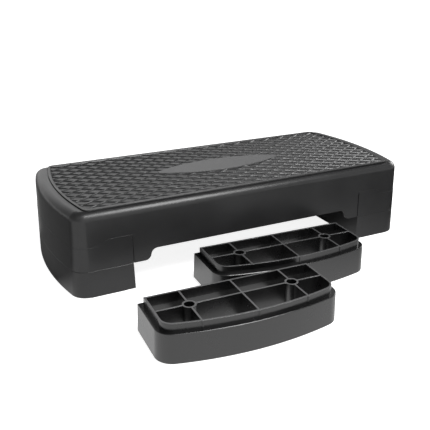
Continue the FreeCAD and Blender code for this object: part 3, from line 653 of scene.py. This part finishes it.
class STEP_OT_plaque(bpy.types.Operator):
    """Smooth lens-shaped plaque in the middle of the mat"""

    bl_idname = "step.plaque"
    bl_label = "Plaque"

    def execute(self, context):
        settings = context.scene.step_mat
        drop = lens_sides(settings)[1]
        low = MAT_HIGH.z - settings.plaque_height - settings.cell_depth * LENS_ROOT
        reach = settings.plaque_length / 2 - settings.tip_radius
        tip = math.atan2(drop, reach)
        start = (MAT_CENTRE.x + reach + settings.tip_radius * math.cos(tip),
                 MAT_CENTRE.y - settings.tip_radius * math.sin(tip), low)
        plaque = add_point("tread_plaque_finished", start)
        for side in (1, -1):
            turn_point((MAT_CENTRE.x + side * reach, MAT_CENTRE.y, low), 2 * tip, TIP_STEPS)
            turn_point((MAT_CENTRE.x, MAT_CENTRE.y - side * drop, low), math.pi - 2 * tip, LENS_STEPS)
        raise_outline(MAT_HIGH.z - low)
        pick(plaque, "FACE", lambda face: face.normal.z > FACES_UP)
        bpy.ops.mesh.inset(thickness=LENS_BAND, depth=0.0)
        pick(plaque, "EDGE", lambda edge: all(vert.co.z > MAT_HIGH.z - SLACK for vert in edge.verts)
             and any(face.normal.z < FACES_ASIDE for face in edge.link_faces))
        bpy.ops.mesh.bevel(offset=settings.plaque_height, segments=ROUND_STEPS, affect="EDGES",
                           clamp_overlap=False)
        leave_edit()
        bpy.ops.object.shade_smooth_by_angle(angle=SMOOTH_ANGLE)
        rubber = rubber_material("plaque_rubber", settings.plaque_colour, LENS)
        finish_piece(plaque, rubber, BODIES["tread_mat"], "mat")
        return {"FINISHED"}


class STEP_OT_stage(bpy.types.Operator):
    """Pale floor, soft studio light and camera"""

    bl_idname = "step.stage"
    bl_label = "Stage"

    def execute(self, context):
        settings = context.scene.step_stage
        self.make_floor(settings)
        self.make_world(context.scene, settings)
        front = Vector((KEY_AIM_X, MAT_LOW.y, MAT_HIGH.z))
        self.make_light("key_softbox", front, KEY_OFFSET, KEY_SIZE, settings.key_power)
        self.make_light("side_softbox", MAT_CENTRE, SIDE_OFFSET, SIDE_SIZE, settings.side_power)
        self.make_camera(context.scene, settings)
        context.scene.view_settings.view_transform = "Standard"
        return {"FINISHED"}

    def make_floor(self, settings):
        """Floor that is white to the eye, keeps shadows and shows the gloss painted white strips and painted
        shade, dark under the deck as its shadow.
        """
        bpy.ops.mesh.primitive_plane_add(size=FLOOR_SIZE, location=(0, 0, 0))
        floor = name_piece("studio_floor")
        material, tree, bsdf = new_material("studio_floor")
        bsdf.inputs["Base Color"].default_value = tuple(settings.floor_colour)
        bsdf.inputs["Roughness"].default_value = FLOOR_ROUGHNESS
        bsdf.inputs["Specular IOR Level"].default_value = 0.0
        ray = tree.nodes.new("ShaderNodeLightPath").outputs
        glow = tree.nodes.new("ShaderNodeEmission")
        link(tree, combine(tree, "MULTIPLY", ray["Is Camera Ray"], settings.floor_glow),
             glow.inputs["Strength"])
        white = tree.nodes.new("ShaderNodeAddShader")
        link(tree, bsdf.outputs["BSDF"], white.inputs[0])
        link(tree, glow.outputs["Emission"], white.inputs[1])
        mirror = tree.nodes.new("ShaderNodeEmission")
        # Painted light and shade on the floor, seen only in reflections: white strips, and dark under the
        # deck as its shadow
        shine = ramp(tree, self.lit_floor(tree), settings.painted_shade_level, settings.floor_shine, 0.0, 1.0)
        link(tree, shine, mirror.inputs["Strength"])
        both = tree.nodes.new("ShaderNodeMixShader")
        link(tree, combine(tree, "ADD", ray["Is Glossy Ray"], ray["Is Transmission Ray"]), both.inputs["Fac"])
        link(tree, white.outputs["Shader"], both.inputs[1])
        link(tree, mirror.outputs["Emission"], both.inputs[2])
        link(tree, both.outputs["Shader"], tree.nodes["Material Output"].inputs["Surface"])
        floor.data.materials.append(material)

    @staticmethod
    def lit_floor(tree):
        """Mask of the floor that the gloss sees white: before and behind the deck, fading to the right.

        Painted shade lies under the deck, as its shadow, and behind its left end, and a faint strip lies
        along that end."""
        offset = add_math(tree, "SUBTRACT", "ShaderNodeVectorMath")
        link(tree, coordinates(tree, "Object"), offset.inputs[0])
        offset.inputs[1].default_value = (MAT_CENTRE.x, MAT_CENTRE.y, 0.0)
        spot = split(tree, offset.outputs["Vector"])
        before = ramp(tree, spot["Y"], 1.0, 0.0, *FRONT_STRIP)
        behind = combine(tree, "MULTIPLY", ramp(tree, spot["Y"], 0.0, 1.0, *REAR_STRIP),
                         ramp(tree, spot["X"], 0.0, 1.0, *REAR_STRIP_END))
        left = ramp(tree, spot["X"], LEFT_STRIP_LIGHT, 0.0, *LEFT_STRIP)
        lit = combine(tree, "MAXIMUM", combine(tree, "MAXIMUM", before, behind), left)
        return combine(tree, "MULTIPLY", lit, ramp(tree, spot["X"], 1.0, 0.0, *RIGHT_FADE))

    @staticmethod
    def make_world(scene, settings):
        """Studio walls, white round the horizon and dim above it on the left and right, under a ceiling
        that is dark but for its front."""
        world = bpy.data.worlds.new("studio_world")
        scene.world = world
        world.use_nodes = True
        tree = world.node_tree
        way = split(tree, coordinates(tree, "Generated"))
        horizon = ramp(tree, way["Z"], 1.0, 0.0, *HORIZON_FADE)
        left = combine(tree, "MAXIMUM", ramp(tree, way["X"], DIM_WALL, 1.0, *LEFT_WALL_FADE), horizon)
        studio = tree.nodes.new("ShaderNodeMix")
        link(tree, combine(tree, "MULTIPLY", left, settings.backdrop), studio.inputs["A"])
        link(tree, ramp(tree, way["Y"], settings.front_ceiling, settings.ceiling, *FRONT_CEILING_FADE),
             studio.inputs["B"])
        link(tree, ramp(tree, way["Z"], 0.0, 1.0, *CEILING_FADE), studio.inputs["Factor"])
        front = ramp(tree, way["X"], 1.0, DIM_WALL, *RIGHT_WALL_FADE)
        rear = combine(tree, "MULTIPLY", ramp(tree, way["Y"], 0.0, 1.0, *REAR_WALL_FADE),
                       ramp(tree, way["X"], 1.0, DIM_REAR, *REAR_RIGHT_FADE))
        right = combine(tree, "MAXIMUM", combine(tree, "MAXIMUM", front, rear), horizon)
        background = tree.nodes["Background"]
        link(tree, combine(tree, "MULTIPLY", studio.outputs["Result"], right), background.inputs["Strength"])
        background.inputs["Color"].default_value = (1.0, 1.0, 1.0, 1.0)

    @staticmethod
    def make_light(name, aim, offset, extent, power):
        """Softbox at an offset from the spot that it is aimed at."""
        bpy.ops.object.light_add(type="AREA", location=aim + offset)
        lamp = bpy.context.active_object
        lamp.name = name
        lamp.data.shape = "RECTANGLE"
        lamp.data.size, lamp.data.size_y = extent
        lamp.data.energy = power
        lamp.rotation_euler = (-offset).to_track_quat("-Z", "Y").to_euler()

    @staticmethod
    def make_camera(scene, settings):
        target = Vector((settings.target_x, MAT_CENTRE.y, settings.target_z))
        back = Vector((math.sin(settings.azimuth) * math.cos(settings.elevation),
                       -math.cos(settings.azimuth) * math.cos(settings.elevation),
                       math.sin(settings.elevation)))
        bpy.ops.object.camera_add(location=target + back * settings.distance,
                                  rotation=(-back).to_track_quat("-Z", "Y").to_euler())
        camera = bpy.context.active_object
        camera.data.sensor_width = SENSOR_WIDTH
        camera.data.lens = settings.lens
        scene.camera = camera


class STEP_PT_panel(bpy.types.Panel):
    """Buttons for every piece and the stage"""

    bl_label = "Step Platform"
    bl_idname = "STEP_PT_panel"
    bl_space_type = "VIEW_3D"
    bl_region_type = "UI"
    bl_category = "Step"

    def draw(self, context):
        for operator in OPERATORS:
            self.layout.operator(operator.bl_idname)


OPERATORS = (STEP_OT_deck, STEP_OT_risers, STEP_OT_feet, STEP_OT_mat, STEP_OT_plaque, STEP_OT_stage)
SETTINGS = {"step_plastic": PlasticSettings, "step_mat": MatSettings, "step_stage": StageSettings}


def register():
    for name, settings in SETTINGS.items():
        bpy.utils.register_class(settings)
        setattr(bpy.types.Scene, name, PointerProperty(type=settings))
    for operator in OPERATORS:
        bpy.utils.register_class(operator)
    bpy.utils.register_class(STEP_PT_panel)


def unregister():
    bpy.utils.unregister_class(STEP_PT_panel)
    for operator in reversed(OPERATORS):
        bpy.utils.unregister_class(operator)
    for name, settings in SETTINGS.items():
        delattr(bpy.types.Scene, name)
        bpy.utils.unregister_class(settings)


def main():
    register()
    for operator in OPERATORS:
        group, action = operator.bl_idname.split(".")
        getattr(getattr(bpy.ops, group), action)()


if __name__ == "__main__":
    main()
